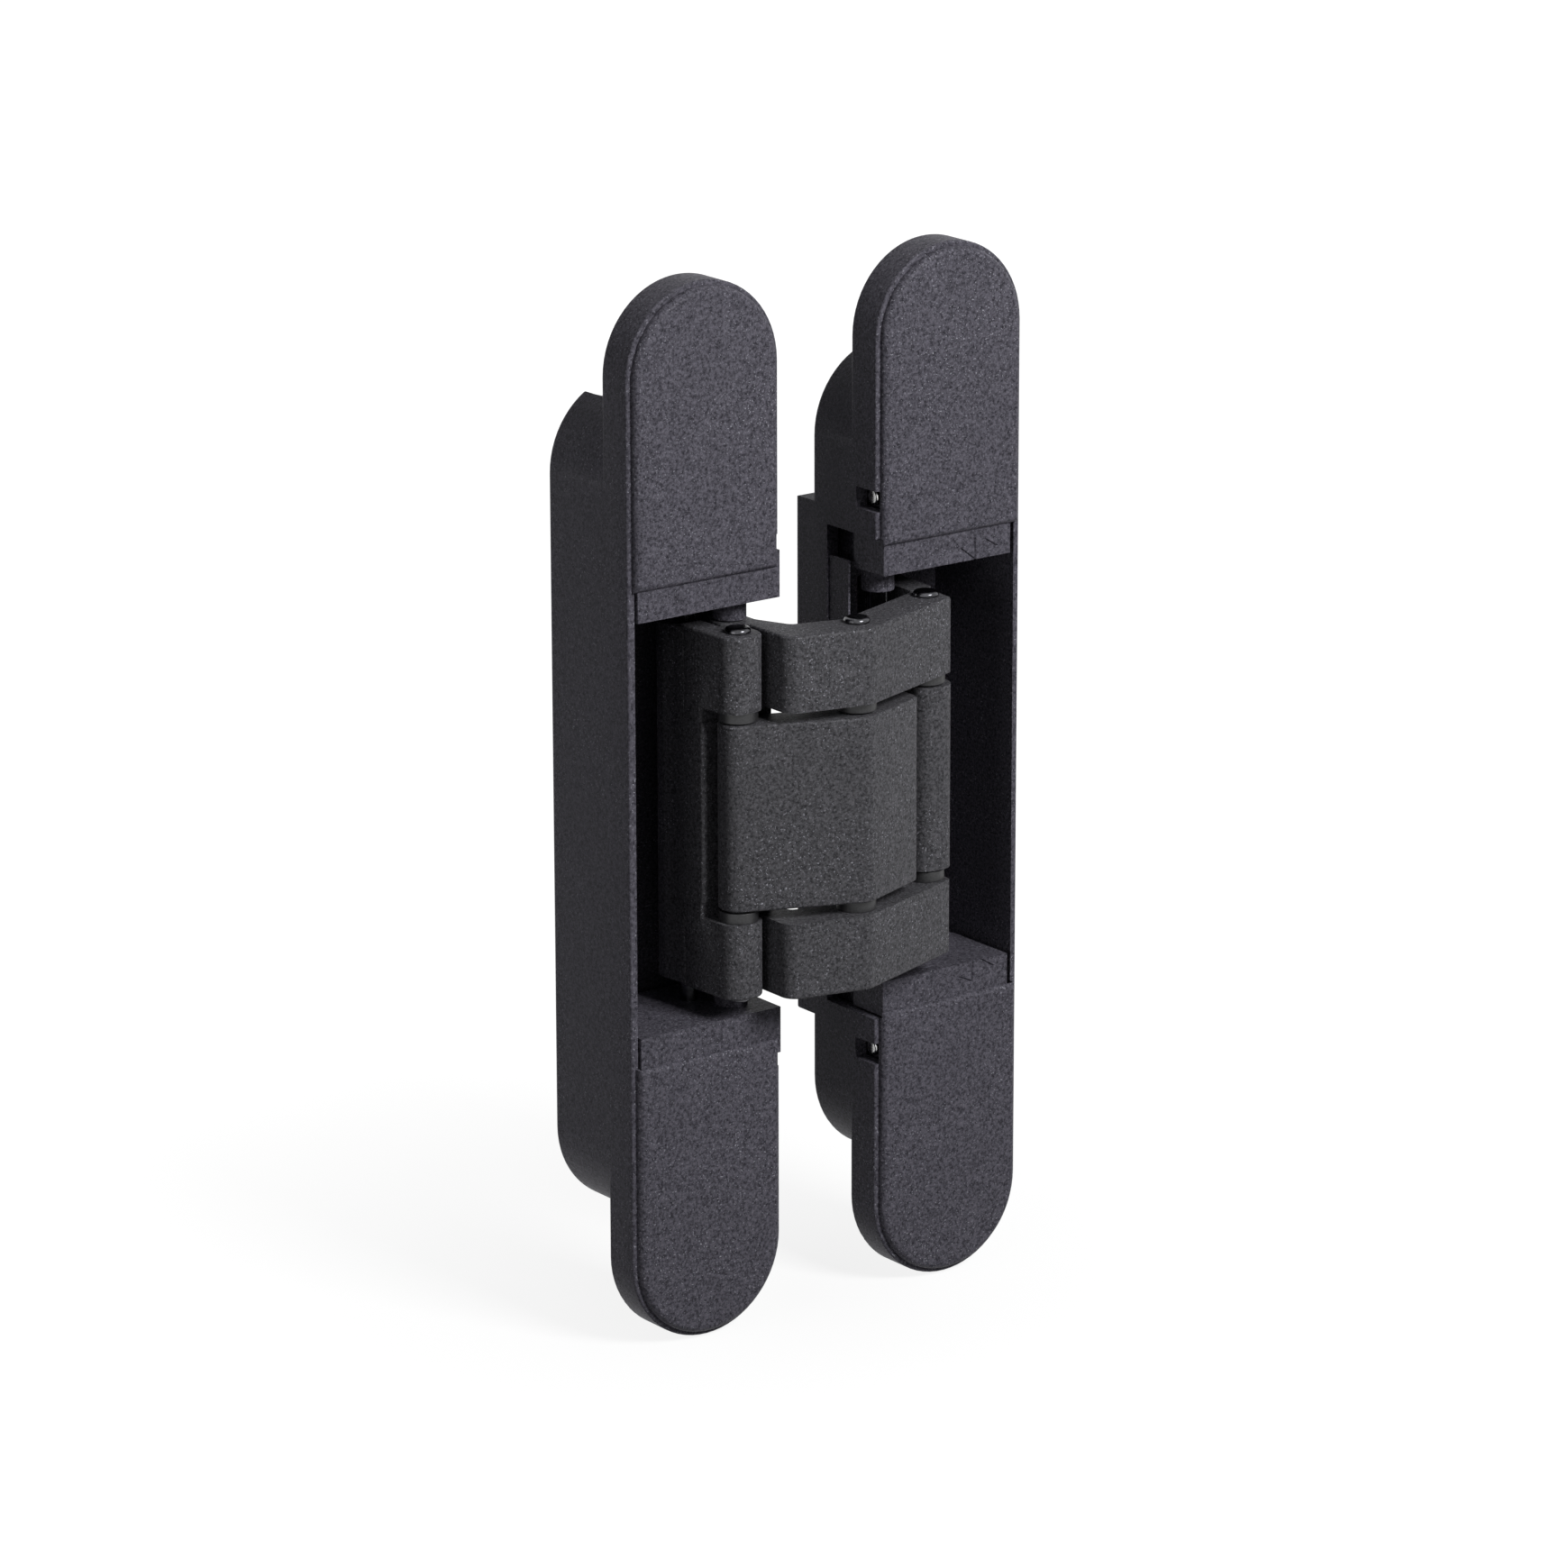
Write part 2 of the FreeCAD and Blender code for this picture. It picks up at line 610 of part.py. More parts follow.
def build_inner_arm():
    arm = prism_z(inner_arm_corners(), -CORE_HALF, CORE_HALF)
    edges = edges_at(arm, 2, CORE_HALF) + edges_at(arm, 2, -CORE_HALF)
    arm = arm.makeFillet(ARM_EDGE, edges)
    top = CORE_HALF + 1
    hole = PIN_RADIUS + RUNNING_FIT
    cutters = [
        cylinder_z(MIDDLE_X, CROSS_Y, hole, -top, top),
        cylinder_z(LINK_X, LINK_END_Y, hole, -top, top),
        cylinder_z(DOOR_X - ARM_X, ARM_PIVOT_DEPTH, hole, -top, top),
    ]
    return arm.cut(cutters)


# Links

def link_end_corners():
    x = LINK_X
    y = LINK_END_Y
    return [
        (x + KNUCKLE_RADIUS, y - 3.6, 3.0),
        (x + KNUCKLE_RADIUS, y + 3.2, 3.0),
        (x + 0.1, y + 4.6, 0.6),
        (x + 0.1, LINK_WAIST_Y, 0.8),
        (x + 0.1 - LINK_BACK_WIDTH, LINK_WAIST_Y, 0.8),
        (x - 4.1, y - 4.1, 3.3),
    ]


def link_web_corners():
    return [
        (LINK_X + 0.1, LINK_END_Y + KNUCKLE_RADIUS + 0.5, 0.6),
        (LINK_X + 0.1, LINK_WAIST_Y, 0.8),
        (LINK_ROOT_X + 1.4, LINK_ROOT_Y - 3.4, 0.5),
        (LINK_ROOT_X - 3.9, LINK_ROOT_Y - 1.0, 0.5),
        (LINK_X - 4.65, LINK_END_Y + KNUCKLE_RADIUS + 0.4, 0.6),
    ]


def link_bridge_corners():
    return [
        (LINK_X + 0.1, LINK_END_Y + 4.6, 0.6),
        (LINK_X + 0.1, LINK_WAIST_Y, 0.8),
        (LINK_X + 0.1 - LINK_BACK_WIDTH, LINK_WAIST_Y, 0.8),
        (LINK_X - 4.65, LINK_END_Y + 4.6, 0.6),
    ]


def root_crescent():
    # Outer side of the root knuckle, carried up and down to the ends of the fork
    low = -STACK_HALF + ARM_EDGE
    high = STACK_HALF - ARM_EDGE
    edge = LINK_ROOT_X - CRESCENT_INSET
    ring = cylinder_z(LINK_ROOT_X, LINK_ROOT_Y, ROOT_KNUCKLE_RADIUS, low, high)
    spare = ROOT_KNUCKLE_RADIUS + 1
    ring = ring.cut(
        box(edge, edge + 2 * spare, LINK_ROOT_Y - spare, LINK_ROOT_Y + spare, low - 1, high + 1)
    )
    corners = [
        (LINK_X + 0.1 - LINK_BACK_WIDTH, LINK_WAIST_Y - 1.5, 0),
        (edge, LINK_WAIST_Y - 1.5, 0),
        (edge, LINK_ROOT_Y, 0),
        (LINK_ROOT_X - ROOT_KNUCKLE_RADIUS, LINK_ROOT_Y, 0),
    ]
    return ring.fuse(prism_z(corners, low, high))


def build_frame_link():
    fork = prism_z(link_end_corners(), BAND_INNER, STACK_HALF)
    fork = fork.makeFillet(ARM_EDGE, edges_at(fork, 2, STACK_HALF))
    web = prism_z(link_web_corners(), -ROOT_HALF, ROOT_HALF)
    bridge = prism_z(link_bridge_corners(), -BAND_INNER - 1, BAND_INNER + 1)
    root = cylinder_z(LINK_ROOT_X, LINK_ROOT_Y, ROOT_KNUCKLE_RADIUS, -ROOT_HALF, ROOT_HALF)
    link = fork.fuse([mirror_z(fork), web, bridge, root, root_crescent()])
    top = STACK_HALF + 1
    cutters = [
        cylinder_z(LINK_X, LINK_END_Y, PIN_RADIUS, -top, top),
        cylinder_z(LINK_ROOT_X, LINK_ROOT_Y, ROOT_HOLE_RADIUS, -top, top),
    ]
    return link.cut(cutters)


def build_door_link():
    knuckle = prism_z(link_end_corners(), -CORE_HALF, CORE_HALF)
    web = prism_z(link_web_corners(), BAND_INNER, STACK_HALF)
    root = cylinder_z(LINK_ROOT_X, LINK_ROOT_Y, ROOT_KNUCKLE_RADIUS, BAND_INNER, STACK_HALF)
    bridge = prism_z(link_bridge_corners(), -BAND_INNER - 1, BAND_INNER + 1)
    link = knuckle.fuse([web, mirror_z(web), root, mirror_z(root), bridge])
    top = STACK_HALF + 1
    cutters = [
        cylinder_z(LINK_X, LINK_END_Y, PIN_RADIUS + RUNNING_FIT, -top, top),
        cylinder_z(LINK_ROOT_X, LINK_ROOT_Y, ROOT_HOLE_RADIUS, -top, top),
    ]
    return mirror_x(link.cut(cutters))


# Pins and washers

def domed_pin(x, y, radius, half):
    pin = cylinder_z(x, y, radius, -half, half)
    heads = cylinder_z(x, y, PIN_HEAD_RADIUS, half, half + PIN_HEAD_HEIGHT)
    heads = heads.makeFillet(PIN_HEAD_EDGE, edges_at(heads, 2, half + PIN_HEAD_HEIGHT))
    return pin.fuse([heads, mirror_z(heads)])


def plain_pin(x, y, radius, half):
    pin = cylinder_z(x, y, radius, -half, half)
    edges = edges_at(pin, 2, half) + edges_at(pin, 2, -half)
    return pin.makeChamfer(PIN_END_CHAMFER, edges)


def washers(x, y):
    z0 = CORE_HALF + WASHER_GAP
    ring = cylinder_z(x, y, WASHER_RADIUS, z0, BAND_INNER)
    ring = ring.cut(cylinder_z(x, y, PIN_RADIUS, 0, STACK_HALF))
    return Part.Compound([ring, mirror_z(ring)])


# Screws

def clamp_screws(x, back):
    screws = []
    for side in (-1, 1):
        z = side * CLAMP_Z
        head_back = CLAMP_HEAD_FRONT + CLAMP_HEAD_HEIGHT
        head = cylinder_y(x, z, CLAMP_HEAD_RADIUS, CLAMP_HEAD_FRONT, head_back)
        head = head.makeChamfer(CLAMP_HEAD_CHAMFER, edges_at(head, 1, CLAMP_HEAD_FRONT))
        shank = cylinder_y(x, z, CLAMP_RADIUS, head_back, back)
        socket = hex_prism_y(
            x, z, SOCKET_WIDTH, CLAMP_HEAD_FRONT, CLAMP_HEAD_FRONT + SOCKET_DEPTH
        )
        screws.append(head.fuse(shank).cut(socket).removeSplitter())
    return Part.Compound(screws)


def height_screws():
    screws = []
    for side in (-1, 1):
        inner = side * (CARRIER_OUTER + HEIGHT_TRAVEL + HEIGHT_SCREW_GAP)
        z0, z1 = sorted((inner, side * (POCKET_HALF + HEIGHT_SCREW_SEAT)))
        screw = cylinder_z(HEIGHT_SCREW_X, HEIGHT_SCREW_Y, HEIGHT_SCREW_RADIUS, z0, z1)
        screws.append(screw)
    return Part.Compound(screws)


def side_screws():
    near = DOOR_X - HALF_WIDTH + GAP_WALL + SIDE_TRAVEL + CARRIER_GAP
    start = near - SIDE_SCREW_REACH
    screws = []
    for side in (-1, 1):
        z = side * SIDE_SCREW_Z
        screw = cylinder_x(SIDE_SCREW_Y, z, SIDE_SCREW_RADIUS, start, SIDE_SCREW_END)
        screw = screw.makeFillet(SIDE_SCREW_EDGE, edges_at(screw, 0, start))
        screws.append(screw)
    return Part.Compound(screws)


def main():
    os.makedirs("parts", exist_ok=True)
    save(build_frame_housing(), "frame_housing")
    save(build_door_housing(), "door_housing")
    frame_cover = build_cover_top(0, 1, FAR_WALL, HEAD_OUTER + HEIGHT_TRAVEL)
    door_cover = build_cover_top(DOOR_X, -1, DOOR_FAR_WALL, DOOR_HEAD_OUTER)
    save(frame_cover, "frame_cover_top")
    save(mirror_z(frame_cover), "frame_cover_bottom")
    save(door_cover, "door_cover_top")
    save(mirror_z(door_cover), "door_cover_bottom")
    frame_carrier = build_frame_carrier_top()
    door_carrier = build_door_carrier_top()
    save(frame_carrier, "frame_carrier_top")
    save(mirror_z(frame_carrier), "frame_carrier_bottom")
    save(door_carrier, "door_carrier_top")
    save(mirror_z(door_carrier), "door_carrier_bottom")
    save(build_outer_arm(), "outer_arm")
    save(build_inner_arm(), "inner_arm")
    save(build_frame_link(), "frame_link")
    save(build_door_link(), "door_link")
    right_end = DOOR_X - LINK_X
    save(domed_pin(MIDDLE_X, CROSS_Y, PIN_RADIUS, STACK_HALF), "centre_pin")
    save(domed_pin(LINK_X, LINK_END_Y, PIN_RADIUS, STACK_HALF), "frame_link_pin")
    save(domed_pin(right_end, LINK_END_Y, PIN_RADIUS, STACK_HALF), "door_link_pin")
    arm_pin = plain_pin(ARM_X, ARM_PIVOT_DEPTH, PIN_RADIUS, PIN_REACH)
    root_pin = plain_pin(ROOT_X, ROOT_PIVOT_DEPTH, ROOT_PIN_RADIUS, PIN_REACH)
    save(arm_pin, "frame_arm_pin")
    save(mirror_x(arm_pin), "door_arm_pin")
    save(root_pin, "frame_root_pin")
    save(mirror_x(root_pin), "door_root_pin")
    save(washers(MIDDLE_X, CROSS_Y), "centre_washers")
    save(washers(LINK_X, LINK_END_Y), "frame_link_washers")
    save(washers(right_end, LINK_END_Y), "door_link_washers")
    save(clamp_screws(0, BODY_BACK - CLAMP_END_GAP), "frame_clamp_screws")
    save(clamp_screws(DOOR_X, DOOR_END_BACK - CLAMP_END_GAP), "door_clamp_screws")
    save(height_screws(), "frame_height_screws")
    save(side_screws(), "door_side_screws")


main()
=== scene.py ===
"""Dresses the concealed cross-arm door hinge, laid open, and lights it in a plain studio."""

import logging
import math
from dataclasses import dataclass, field
from enum import Enum

import bmesh
import bpy
from mathutils import Matrix, Vector

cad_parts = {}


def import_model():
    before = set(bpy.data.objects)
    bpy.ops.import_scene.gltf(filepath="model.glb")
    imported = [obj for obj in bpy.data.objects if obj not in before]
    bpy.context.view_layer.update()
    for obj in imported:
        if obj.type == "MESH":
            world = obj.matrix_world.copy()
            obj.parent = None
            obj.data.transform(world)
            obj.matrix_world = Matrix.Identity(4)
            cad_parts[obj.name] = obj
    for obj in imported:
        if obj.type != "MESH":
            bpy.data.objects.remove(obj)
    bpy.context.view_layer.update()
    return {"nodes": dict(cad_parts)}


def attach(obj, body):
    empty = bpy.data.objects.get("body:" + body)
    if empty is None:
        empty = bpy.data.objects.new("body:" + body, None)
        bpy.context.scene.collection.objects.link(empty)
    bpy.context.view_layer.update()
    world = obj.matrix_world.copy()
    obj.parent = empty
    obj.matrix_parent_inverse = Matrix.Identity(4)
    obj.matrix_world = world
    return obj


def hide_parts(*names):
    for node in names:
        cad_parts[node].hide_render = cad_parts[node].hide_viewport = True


LOG = logging.getLogger("hinge")

MM = 0.001
"""One millimetre in metres."""

COVER_FRONT = -6.5
"""Depth of the covers' front face in the part's frame, in millimetres."""

MIDDLE = (0.026, 0.0, 0.0)
"""Middle of the open hinge, in metres."""

MERGE_DISTANCE = 0.5e-6
"""Distance at which two points of a solid's mesh are one, in metres."""

FLAT_ANGLE = 0.4
"""Angle under which two faces of a solid are one flat face, in degrees."""


class Side(Enum):
    """The two halves of the hinge."""

    FRAME = "frame"
    DOOR = "door"


class End(Enum):
    """The two ends of each half."""

    TOP = "top"
    BOTTOM = "bottom"


class ShaderGraph:
    """Builds one material out of shader nodes."""

    def __init__(self, name: str) -> None:
        """Start an empty material.

        Args:
            name: Name of the material.
        """
        self.material = bpy.data.materials.new(name)
        self.material.use_nodes = True
        self.nodes = self.material.node_tree.nodes
        self.links = self.material.node_tree.links
        self.nodes.clear()
        self.output = self.nodes.new("ShaderNodeOutputMaterial")

    def add(self, kind: str, **values: object) -> bpy.types.Node:
        """Add a node and set its sockets.

        Args:
            kind: Type name of the node.
            **values: Socket names, with underscores for spaces, and their values.

        Returns:
            The new node.
        """
        node = self.nodes.new(kind)
        for key, value in values.items():
            node.inputs[key.replace("_", " ")].default_value = value
        return node

    def join(self, source: bpy.types.NodeSocket, target: bpy.types.NodeSocket) -> None:
        """Link one socket to another.

        Args:
            source: Output socket.
            target: Input socket.
        """
        self.links.new(source, target)

    def millimetres(self) -> bpy.types.NodeSocket:
        """Add the object's own coordinates in millimetres.

        Returns:
            The coordinates' socket.
        """
        place = self.nodes.new("ShaderNodeTexCoord")
        scale = self.nodes.new("ShaderNodeMapping")
        scale.inputs["Scale"].default_value = (1 / MM, 1 / MM, 1 / MM)
        self.join(place.outputs["Object"], scale.inputs["Vector"])
        return scale.outputs["Vector"]

    def noise(
        self,
        place: bpy.types.NodeSocket,
        scale: float,
        detail: float = 2.0,
        rough: float = 0.5,
    ) -> bpy.types.NodeSocket:
        """Add a noise pattern.

        Args:
            place: Coordinates of the pattern.
            scale: Grains per millimetre.
            detail: Octaves of finer grain.
            rough: Weight of the finer grain.

        Returns:
            The pattern's value socket.
        """
        node = self.add("ShaderNodeTexNoise", Scale=scale, Detail=detail, Roughness=rough)
        self.join(place, node.inputs["Vector"])
        return node.outputs["Fac"]

    def ramp(
        self,
        value: bpy.types.NodeSocket,
        stops: list[tuple[float, tuple[float, float, float]]],
    ) -> bpy.types.NodeSocket:
        """Turn a value into a colour.

        Args:
            value: The value socket.
            stops: Position and colour of each stop.

        Returns:
            The colour socket.
        """
        node = self.nodes.new("ShaderNodeValToRGB")
        band = node.color_ramp
        while len(band.elements) < len(stops):
            band.elements.new(0.5)
        for element, (position, colour) in zip(band.elements, stops):
            element.position = position
            element.color = (*colour, 1.0)
        self.join(value, node.inputs["Fac"])
        return node.outputs["Color"]

    def span(
        self, value: bpy.types.NodeSocket, low: float, high: float
    ) -> bpy.types.NodeSocket:
        """Map a value from 0 to 1 onto another span.

        Args:
            value: The value socket.
            low: Result at 0.
            high: Result at 1.

        Returns:
            The mapped value's socket.
        """
        node = self.add("ShaderNodeMapRange", To_Min=low, To_Max=high)
        self.join(value, node.inputs["Value"])
        return node.outputs["Result"]

    def blend(
        self,
        amount: bpy.types.NodeSocket,
        first: bpy.types.NodeSocket,
        second: bpy.types.NodeSocket,
    ) -> bpy.types.NodeSocket:
        """Mix two colours by an amount.

        Args:
            amount: The amount's socket, 0 for the first colour.
            first: The first colour's socket.
            second: The second colour's socket.

        Returns:
            The mixed colour's socket.
        """
        node = self.nodes.new("ShaderNodeMix")
        node.data_type = "RGBA"
        self.join(amount, node.inputs[0])
        self.join(first, node.inputs[6])
        self.join(second, node.inputs[7])
        return node.outputs[2]

    def bump(
        self, height: bpy.types.NodeSocket, strength: float, distance: float
    ) -> bpy.types.NodeSocket:
        """Turn a height pattern into a normal.

        Args:
            height: The height pattern.
            strength: Strength of the relief.
            distance: Depth of the relief in metres.

        Returns:
            The normal socket.
        """
        node = self.add("ShaderNodeBump", Strength=strength, Distance=distance)
        self.join(height, node.inputs["Height"])
        return node.outputs["Normal"]


@dataclass(frozen=True)
class CoatedZinc:
    """Matte charcoal coating on die-cast zinc, with a fine grain and bright flecks that are
    painted glints standing in for its metallic flakes.
    """

    name: str = "charcoal_coating"
    dark: tuple[float, float, float] = (0.022, 0.021, 0.027)
    light: tuple[float, float, float] = (0.152, 0.145, 0.176)
    # Colour of the flecks: painted glints of the coating's metallic flakes, bright under any
    # lamp.
    fleck_glint: tuple[float, float, float] = (0.46, 0.46, 0.52)
    sheen_level: float = 0.08
    rough_low: float = 0.38
    rough_high: float = 0.60
    grain_scale: float = 1.9
    grain_span: tuple[float, float] = (0.33, 0.67)
    fleck_glint_scale: float = 3.1
    fleck_glint_span: tuple[float, float] = (0.66, 0.72)
    cloud_scale: float = 0.06
    cloud_span: tuple[float, float] = (0.3, 0.7)
    relief: float = 0.30
    relief_depth: float = 0.00006

    def material(self) -> bpy.types.Material:
        """Build the coating.

        Returns:
            The finished material.
        """
        graph = ShaderGraph(self.name)
        place = graph.millimetres()
        shade = graph.add("ShaderNodeBsdfPrincipled", Specular_IOR_Level=self.sheen_level)
        grain = graph.noise(place, self.grain_scale, detail=3.0, rough=0.75)
        cloud = graph.noise(place, self.cloud_scale, detail=2.0)
        fleck_glints = graph.noise(place, self.fleck_glint_scale, detail=1.0)
        coat = graph.ramp(grain, list(zip(self.grain_span, (self.dark, self.light))))
        # The flecks are painted glints: bright spots put into the base colour in place of the
        # metallic flakes' sparkle.
        glint_mask = graph.ramp(fleck_glints, list(zip(self.fleck_glint_span, ((0, 0, 0), (1, 1, 1)))))
        glint_colour = graph.ramp(cloud, list(zip(self.cloud_span, (self.fleck_glint, self.light))))
        colour = graph.blend(glint_mask, coat, glint_colour)
        graph.join(colour, shade.inputs["Base Color"])
        graph.join(
            graph.span(grain, self.rough_high, self.rough_low), shade.inputs["Roughness"]
        )
        graph.join(
            graph.bump(grain, self.relief, self.relief_depth), shade.inputs["Normal"]
        )
        graph.join(shade.outputs["BSDF"], graph.output.inputs["Surface"])
        return graph.material


@dataclass(frozen=True)
class TurnedSteel:
    """Polished dark steel with a fine grain."""

    name: str = "pin_steel"
    dark: tuple[float, float, float] = (0.045, 0.045, 0.048)
    light: tuple[float, float, float] = (0.12, 0.12, 0.13)
    rough_low: float = 0.12
    rough_high: float = 0.26
    grain_scale: float = 5.0
    cloud_scale: float = 0.9
    cloud_span: tuple[float, float] = (0.3, 0.7)
    relief: float = 0.15
    relief_depth: float = 0.00003

    def material(self) -> bpy.types.Material:
        """Build the steel.

        Returns:
            The finished material.
        """
        graph = ShaderGraph(self.name)
        place = graph.millimetres()
        shade = graph.add("ShaderNodeBsdfPrincipled", Metallic=1.0)
        grain = graph.noise(place, self.grain_scale, detail=3.0, rough=0.6)
        cloud = graph.noise(place, self.cloud_scale, detail=2.0)
        tone = graph.ramp(cloud, list(zip(self.cloud_span, (self.dark, self.light))))
        graph.join(tone, shade.inputs["Base Color"])
        graph.join(
            graph.span(grain, self.rough_low, self.rough_high), shade.inputs["Roughness"]
        )
        graph.join(
            graph.bump(grain, self.relief, self.relief_depth), shade.inputs["Normal"]
        )
        graph.join(shade.outputs["BSDF"], graph.output.inputs["Surface"])
        return graph.material


@dataclass(frozen=True)
class SlidePolymer:
    """Black moulded slide polymer."""

    name: str = "slide_polymer"
    dark: tuple[float, float, float] = (0.012, 0.012, 0.013)
    light: tuple[float, float, float] = (0.028, 0.028, 0.030)
    rough: float = 0.45
    grain_scale: float = 2.5
    grain_span: tuple[float, float] = (0.3, 0.7)
    relief: float = 0.2
    relief_depth: float = 0.00004

    def material(self) -> bpy.types.Material:
        """Build the polymer.

        Returns:
            The finished material.
        """
        graph = ShaderGraph(self.name)
        place = graph.millimetres()
        shade = graph.add("ShaderNodeBsdfPrincipled", Roughness=self.rough)
        grain = graph.noise(place, self.grain_scale, detail=2.0)
        tone = graph.ramp(grain, list(zip(self.grain_span, (self.dark, self.light))))
        graph.join(tone, shade.inputs["Base Color"])
        graph.join(
            graph.bump(grain, self.relief, self.relief_depth), shade.inputs["Normal"]
        )
        graph.join(shade.outputs["BSDF"], graph.output.inputs["Surface"])
        return graph.material


def seen_directly(
    nodes: bpy.types.Nodes, links: bpy.types.NodeLinks
) -> bpy.types.NodeSocket:
    """Tell rays that show the background from those that light the hinge.

    Args:
        nodes: The nodes of a material or a world.
        links: Their links.

    Returns:
        A socket that is 1 for camera, glossy and transmission rays.
    """
    path = nodes.new("ShaderNodeLightPath")
    total = path.outputs["Is Camera Ray"]
    for name in ("Is Glossy Ray", "Is Transmission Ray"):
        either = nodes.new("ShaderNodeMath")
        either.operation = "MAXIMUM"
        links.new(total, either.inputs[0])
        links.new(path.outputs[name], either.inputs[1])
        total = either.outputs[0]
    return total


@dataclass(frozen=True)
class PaleFloor:
    """Plain white studio floor that keeps a soft shadow around the hinge."""

    name: str = "studio_floor"
    pale: float = 0.95
    bounce: float = 0.15
    strength: float = 1.12
    shadow_share: float = 0.25
    shadow_reach: float = 0.45

    def material(self) -> bpy.types.Material:
        """Build the floor.

        Returns:
            The finished material.
        """
        graph = ShaderGraph(self.name)
        seen = seen_directly(graph.nodes, graph.links)
        matte = graph.add("ShaderNodeBsdfDiffuse")
        graph.join(graph.span(seen, self.bounce, self.pale), matte.inputs["Color"])
        white = graph.add("ShaderNodeEmission", Strength=self.strength)
        place = graph.nodes.new("ShaderNodeTexCoord")
        scale = graph.nodes.new("ShaderNodeMapping")
        scale.inputs["Scale"].default_value = (1 / self.shadow_reach,) * 3
        graph.join(place.outputs["Object"], scale.inputs["Vector"])
        near = graph.nodes.new("ShaderNodeTexGradient")
        near.gradient_type = "QUADRATIC_SPHERE"
        graph.join(scale.outputs["Vector"], near.inputs["Vector"])
        glow = graph.span(near.outputs["Fac"], 1.0, 1.0 - self.shadow_share)
        amount = graph.nodes.new("ShaderNodeMath")
        amount.operation = "MULTIPLY"
        graph.join(seen, amount.inputs[0])
        graph.join(glow, amount.inputs[1])
        mix = graph.nodes.new("ShaderNodeMixShader")
        graph.join(amount.outputs[0], mix.inputs["Fac"])
        graph.join(matte.outputs["BSDF"], mix.inputs[1])
        graph.join(white.outputs["Emission"], mix.inputs[2])
        graph.join(mix.outputs["Shader"], graph.output.inputs["Surface"])
        return graph.material


@dataclass
class Wardrobe:
    """One material for each finish, made once."""

    body: CoatedZinc = CoatedZinc(name="charcoal_body")
    cover: CoatedZinc = CoatedZinc(name="charcoal_cover")
    arm: CoatedZinc = CoatedZinc(
        name="charcoal_arm", dark=(0.020, 0.020, 0.022), light=(0.134, 0.132, 0.144)
    )
    pin: TurnedSteel = TurnedSteel()
    screw: TurnedSteel = TurnedSteel(
        name="screw_steel", dark=(0.36, 0.36, 0.36), light=(0.58, 0.58, 0.57)
    )
    polymer: SlidePolymer = SlidePolymer()
    made: dict[str, bpy.types.Material] = field(default_factory=dict)

    def get(self, slot: str) -> bpy.types.Material:
        """Return the material for a slot of the record.

        Args:
            slot: Name of the material slot.

        Returns:
            The finish's material.
        """
        finish = {
            "coated_body": self.body,
            "coated_cover": self.cover,
            "coated_arm": self.arm,
            "pin_steel": self.pin,
            "screw_steel": self.screw,
            "polymer": self.polymer,
        }[slot]
        if slot not in self.made:
            self.made[slot] = finish.material()
        return self.made[slot]


@dataclass
class Skin:
    """A bevelled, smoothly shaded skin over one solid of the hinge."""

    node: str
    body: str
    slot: str
    bevel: float = 0.25
    segments: int = 3
    sharp: float = 28.0

    def mesh(self, nodes: dict[str, bpy.types.Object]) -> bpy.types.Object:
        """Build the skin's mesh from the solid's own faces.

        Args:
            nodes: The solids by name.

        Returns:
            The new object.
        """
        data = nodes[self.node].data.copy()
        data.name = self.node + "_skin"
        work = bmesh.new()
        work.from_mesh(data)
        bmesh.ops.remove_doubles(work, verts=work.verts, dist=MERGE_DISTANCE)
        bmesh.ops.dissolve_limit(
            work, angle_limit=math.radians(FLAT_ANGLE), verts=work.verts, edges=work.edges
        )
        for face in work.faces:
            face.smooth = True
        for edge in work.edges:
            if edge.is_manifold and edge.calc_face_angle(0.0) > math.radians(self.sharp):
                edge.smooth = False
        work.to_mesh(data)
        work.free()
        skin = bpy.data.objects.new(self.node + "_skin", data)
        bpy.context.scene.collection.objects.link(skin)
        if self.bevel > 0:
            rounding = skin.modifiers.new("edge_rounding", "BEVEL")
            rounding.limit_method = "ANGLE"
            rounding.angle_limit = math.radians(self.sharp)
            rounding.width = self.bevel * MM
            rounding.segments = self.segments
            rounding.use_clamp_overlap = True
            rounding.harden_normals = True
        return skin

    def dress(self, skin: bpy.types.Object, wardrobe: Wardrobe) -> None:
        """Give the skin its finish and its place on the moving body.

        Args:
            skin: The skin's object.
            wardrobe: The finishes.
        """
        skin.data.materials.clear()
        skin.data.materials.append(wardrobe.get(self.slot))
        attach(skin, self.body)
        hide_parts(self.node)

    def build(
        self, nodes: dict[str, bpy.types.Object], wardrobe: Wardrobe
    ) -> bpy.types.Object:
        """Mesh and dress the skin.

        Args:
            nodes: The solids by name.
            wardrobe: The finishes.

        Returns:
            The dressed skin.
        """
        skin = self.mesh(nodes)
        self.dress(skin, wardrobe)
        LOG.info("%s rides on %s in %s", skin.name, self.body, self.slot)
        return skin


